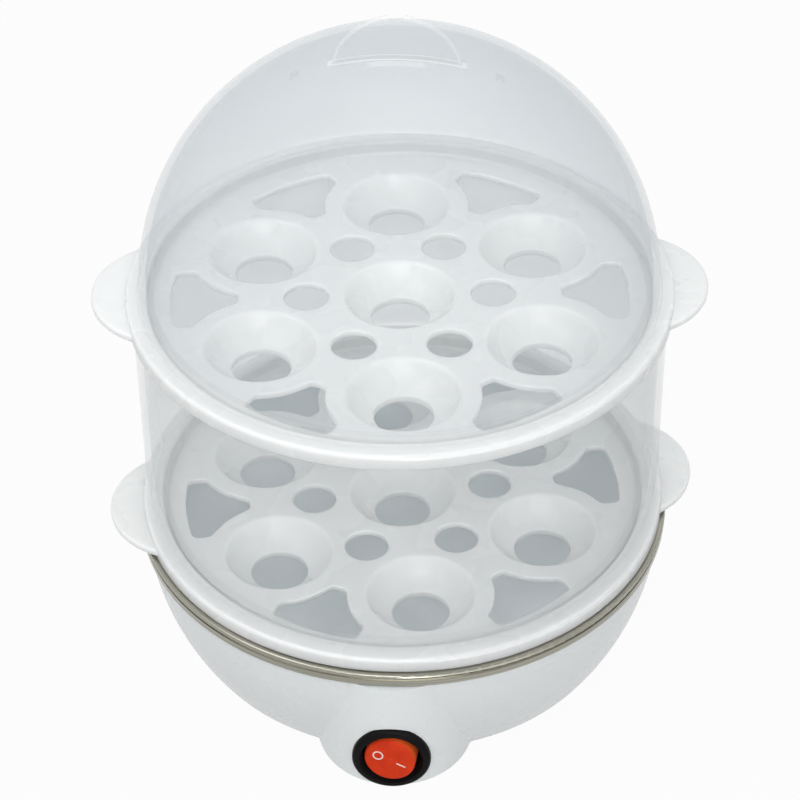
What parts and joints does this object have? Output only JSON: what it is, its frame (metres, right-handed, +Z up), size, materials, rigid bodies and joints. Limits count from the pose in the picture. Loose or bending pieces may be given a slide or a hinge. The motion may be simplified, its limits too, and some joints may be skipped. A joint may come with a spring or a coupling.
{
  "type": "egg cooker",
  "caption": "Tiered electric egg cooker: translucent dome lid and wall ring over white egg trays with ear handles, a steel heating pan, and a bowl base with a round rocker switch.",
  "frame": {"origin": "on the upright axis at table level, under the feet", "axes": "+Z up along the stack, the switch boss towards -Y, the cord inlet towards +Y, the tray ears towards +X and -X"},
  "size_m": [0.1776, 0.1656, 0.2137],
  "materials": {
    "white_plastic": "moulded polypropylene, satin gloss",
    "clear_plastic": "milky translucent moulded polypropylene",
    "stainless_steel": "brushed stainless sheet",
    "black_plastic": "moulded, semi-gloss",
    "red_plastic": "translucent red, glossy",
    "white_nylon": "moulded nylon",
    "brass": "bright sheet",
    "lamp_glass": "clear glass bulb",
    "silicone": "grey silicone",
    "rubber": "matt",
    "aluminium": "die cast, matt",
    "element_sheath": "oxidised steel sheath",
    "zinc_steel": "zinc plated",
    "dark_phenolic": "phenolic resin",
    "fuse_case": "metal case",
    "lead_brown": "silicone insulation",
    "lead_white": "silicone insulation",
    "lead_blue": "silicone insulation"
  },
  "bodies": {
    "base": {"base_housing": "white_plastic", "bottom_cover": "white_plastic", "cover_screws": "zinc_steel", "foot_1": "rubber", "foot_2": "rubber", "foot_3": "rubber", "foot_4": "rubber", "cord_gland": "rubber", "cord_clamp": "white_nylon", "clamp_screws": "zinc_steel", "terminal_block": "white_nylon", "lead_live": "lead_brown", "lead_switched": "lead_brown", "lead_heater": "lead_white", "lead_fuse": "lead_white", "lead_return": "lead_blue", "heating_pan": "stainless_steel", "rim_gasket": "silicone", "heating_plate": "aluminium", "heating_element": "element_sheath", "element_pins": "element_sheath", "pan_studs": "zinc_steel", "stud_washers": "zinc_steel", "stud_nuts": "zinc_steel", "thermostat_body": "dark_phenolic", "thermostat_blades": "brass", "thermostat_strap": "zinc_steel", "thermal_fuse": "fuse_case", "fuse_clip": "zinc_steel", "fuse_rivets": "aluminium", "switch_body": "black_plastic", "switch_blades": "brass"},
    "lower_tray": {"lower_egg_tray": "white_plastic"},
    "tier": {"tier_ring": "clear_plastic"},
    "upper_tray": {"upper_egg_tray": "white_plastic"},
    "lid": {"lid_dome": "clear_plastic"},
    "rocker": {"switch_rocker": "red_plastic", "switch_plunger": "white_nylon", "switch_lamp": "lamp_glass"},
    "contact": {"contact_arm": "brass"}
  },
  "joints": [
    {"name": "lower_tray_lift", "type": "slide", "parent": "base", "child": "lower_tray", "axis": [0, 0, 1], "range_m": [0, 0.06]},
    {"name": "tier_lift", "type": "slide", "parent": "lower_tray", "child": "tier", "axis": [0, 0, 1], "range_m": [0, 0.08]},
    {"name": "upper_tray_lift", "type": "slide", "parent": "tier", "child": "upper_tray", "axis": [0, 0, 1], "range_m": [0, 0.05]},
    {"name": "lid_lift", "type": "slide", "parent": "upper_tray", "child": "lid", "axis": [0, 0, 1], "range_m": [0, 0.1]},
    {"name": "rocker_tilt", "type": "hinge", "parent": "base", "child": "rocker", "pos_m": [0, -0.0791, 0.0144], "axis": [0.3746, 0, 0.9272], "range_deg": [0, 18]},
    {"name": "contact_tilt", "type": "hinge", "parent": "base", "child": "contact", "pos_m": [0, -0.072, 0.0144], "axis": [0.3746, 0, 0.9272], "range_deg": [-10, 0]}
  ],
  "couplings": [
    {"joint": "contact_tilt", "follows": "rocker_tilt", "ratio": -0.55}
  ]
}
